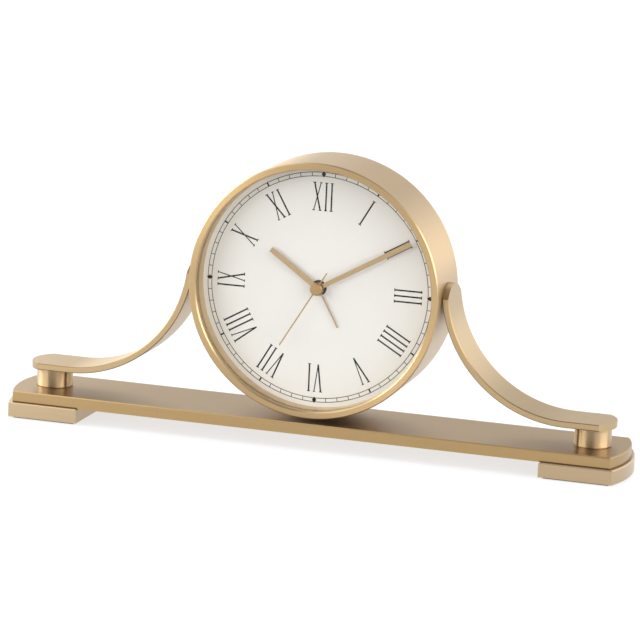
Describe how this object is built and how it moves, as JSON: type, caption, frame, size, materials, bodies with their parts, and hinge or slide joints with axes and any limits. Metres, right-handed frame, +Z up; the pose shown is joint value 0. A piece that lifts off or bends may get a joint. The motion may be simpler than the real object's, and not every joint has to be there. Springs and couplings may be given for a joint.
{
  "type": "tambour mantel clock",
  "caption": "Metal mantel clock: a round drum case held between two bowed arms on a long footed base, with a quartz alarm movement and turning hands.",
  "frame": {"origin": "on the floor, under the middle of the base", "axes": "X to the right along the base, Y to the back (the dial faces -Y), Z up"},
  "size_m": [0.3006, 0.0466, 0.1344],
  "materials": {
    "satin_gold_base": "satin champagne-gold anodised aluminium",
    "satin_gold_arms": "satin champagne-gold anodised aluminium strip",
    "satin_gold_drum": "satin champagne-gold anodised aluminium, turned",
    "polished_gold": "polished gold plate",
    "hand_gold": "satin gold",
    "clear_glass": "clear mineral glass",
    "ivory_dial": "ivory satin enamel paint",
    "black_plastic": "moulded black plastic",
    "cover_plastic": "moulded black plastic, fine grain",
    "train_plastic": "natural white gear plastic",
    "steel": "zinc-plated steel",
    "motor_iron": "soft magnetic iron",
    "magnet": "sintered magnet",
    "copper_winding": "enamelled copper wire",
    "board_green": "green circuit board",
    "plated_can": "nickel plate",
    "sounder_brass": "thin brass can",
    "cell_can": "plain sleeved cell",
    "pad_rubber": "thin black non-slip sheet"
  },
  "bodies": {
    "clock_body": {"base_plate": "satin_gold_base", "left_foot": "satin_gold_base", "right_foot": "satin_gold_base", "left_arm": "satin_gold_arms", "right_arm": "satin_gold_arms", "drum_case": "satin_gold_drum", "dial_ring": "satin_gold_drum", "left_pillar": "polished_gold", "right_pillar": "polished_gold", "glass": "clear_glass", "dial": "ivory_dial", "movement_front": "black_plastic", "movement_rear": "black_plastic", "back_cover": "cover_plastic", "train_plate": "train_plastic", "pillar_bolts": "steel", "arm_screws": "steel", "cover_screws": "steel", "stator": "motor_iron", "coil_core": "motor_iron", "coil": "copper_winding", "circuit_board": "board_green", "quartz_crystal": "plated_can", "positive_contact": "plated_can", "negative_contact": "plated_can", "buzzer": "sounder_brass", "battery": "cell_can", "foot_pads": "pad_rubber"},
    "rotor": {"rotor_pinion": "train_plastic", "rotor_magnet": "magnet"},
    "fifth_gear": {"fifth_wheel": "train_plastic"},
    "seconds_gear": {"seconds_wheel": "train_plastic", "second_hand": "hand_gold"},
    "third_gear": {"third_wheel": "train_plastic"},
    "centre_gear": {"centre_wheel": "train_plastic"},
    "minute_gear": {"cannon_pinion": "train_plastic", "minute_hand": "hand_gold"},
    "reduction_gear": {"minute_wheel": "train_plastic"},
    "hour_gear": {"hour_wheel": "train_plastic", "hour_hand": "hand_gold"},
    "alarm_gear": {"alarm_wheel": "train_plastic", "alarm_hand": "hand_gold"},
    "time_setting": {"time_set_arbor": "train_plastic", "time_set_knob": "black_plastic"},
    "alarm_setting": {"alarm_set_arbor": "train_plastic", "alarm_set_knob": "black_plastic"},
    "alarm_slide": {"alarm_switch": "black_plastic"}
  },
  "joints": [
    {"name": "rotor_spin", "type": "hinge", "parent": "clock_body", "child": "rotor", "pos_m": [0.01261, 0, 0.08333], "axis": [0, 1, 0], "continuous": true},
    {"name": "fifth_spin", "type": "hinge", "parent": "clock_body", "child": "fifth_gear", "pos_m": [0.00525, 0, 0.08065], "axis": [0, 1, 0], "continuous": true},
    {"name": "second_hand_spin", "type": "hinge", "parent": "clock_body", "child": "seconds_gear", "pos_m": [0, 0, 0.0744], "axis": [0, 1, 0], "continuous": true},
    {"name": "third_spin", "type": "hinge", "parent": "clock_body", "child": "third_gear", "pos_m": [-0.00459, 0, 0.08235], "axis": [0, 1, 0], "continuous": true},
    {"name": "centre_spin", "type": "hinge", "parent": "clock_body", "child": "centre_gear", "pos_m": [0, 0, 0.0744], "axis": [0, 1, 0], "continuous": true},
    {"name": "minute_hand_spin", "type": "hinge", "parent": "clock_body", "child": "minute_gear", "pos_m": [0, 0, 0.0744], "axis": [0, 1, 0], "continuous": true},
    {"name": "reduction_spin", "type": "hinge", "parent": "clock_body", "child": "reduction_gear", "pos_m": [-0.00789, 0, 0.07153], "axis": [0, 1, 0], "continuous": true},
    {"name": "hour_hand_spin", "type": "hinge", "parent": "clock_body", "child": "hour_gear", "pos_m": [0, 0, 0.0744], "axis": [0, 1, 0], "continuous": true},
    {"name": "time_knob_spin", "type": "hinge", "parent": "clock_body", "child": "time_setting", "pos_m": [-0.01629, 0, 0.07153], "axis": [0, 1, 0], "continuous": true},
    {"name": "alarm_knob_spin", "type": "hinge", "parent": "clock_body", "child": "alarm_setting", "pos_m": [0.0092, 0, 0.07194], "axis": [0, 1, 0], "continuous": true},
    {"name": "alarm_hand_spin", "type": "hinge", "parent": "clock_body", "child": "alarm_gear", "pos_m": [0, 0, 0.0744], "axis": [0, 1, 0], "continuous": true},
    {"name": "alarm_switch_slide", "type": "slide", "parent": "clock_body", "child": "alarm_slide", "axis": [0, 0, 1], "range_m": [-0.004, 0]}
  ],
  "couplings": [
    {"joint": "fifth_spin", "follows": "rotor_spin", "ratio": -0.16667},
    {"joint": "second_hand_spin", "follows": "rotor_spin", "ratio": 0.033333},
    {"joint": "third_spin", "follows": "rotor_spin", "ratio": -0.0044444},
    {"joint": "centre_spin", "follows": "rotor_spin", "ratio": 0.00055556},
    {"joint": "reduction_spin", "follows": "minute_hand_spin", "ratio": -0.33333},
    {"joint": "hour_hand_spin", "follows": "minute_hand_spin", "ratio": 0.083333},
    {"joint": "time_knob_spin", "follows": "minute_hand_spin", "ratio": 1},
    {"joint": "alarm_hand_spin", "follows": "alarm_knob_spin", "ratio": -0.4}
  ]
}
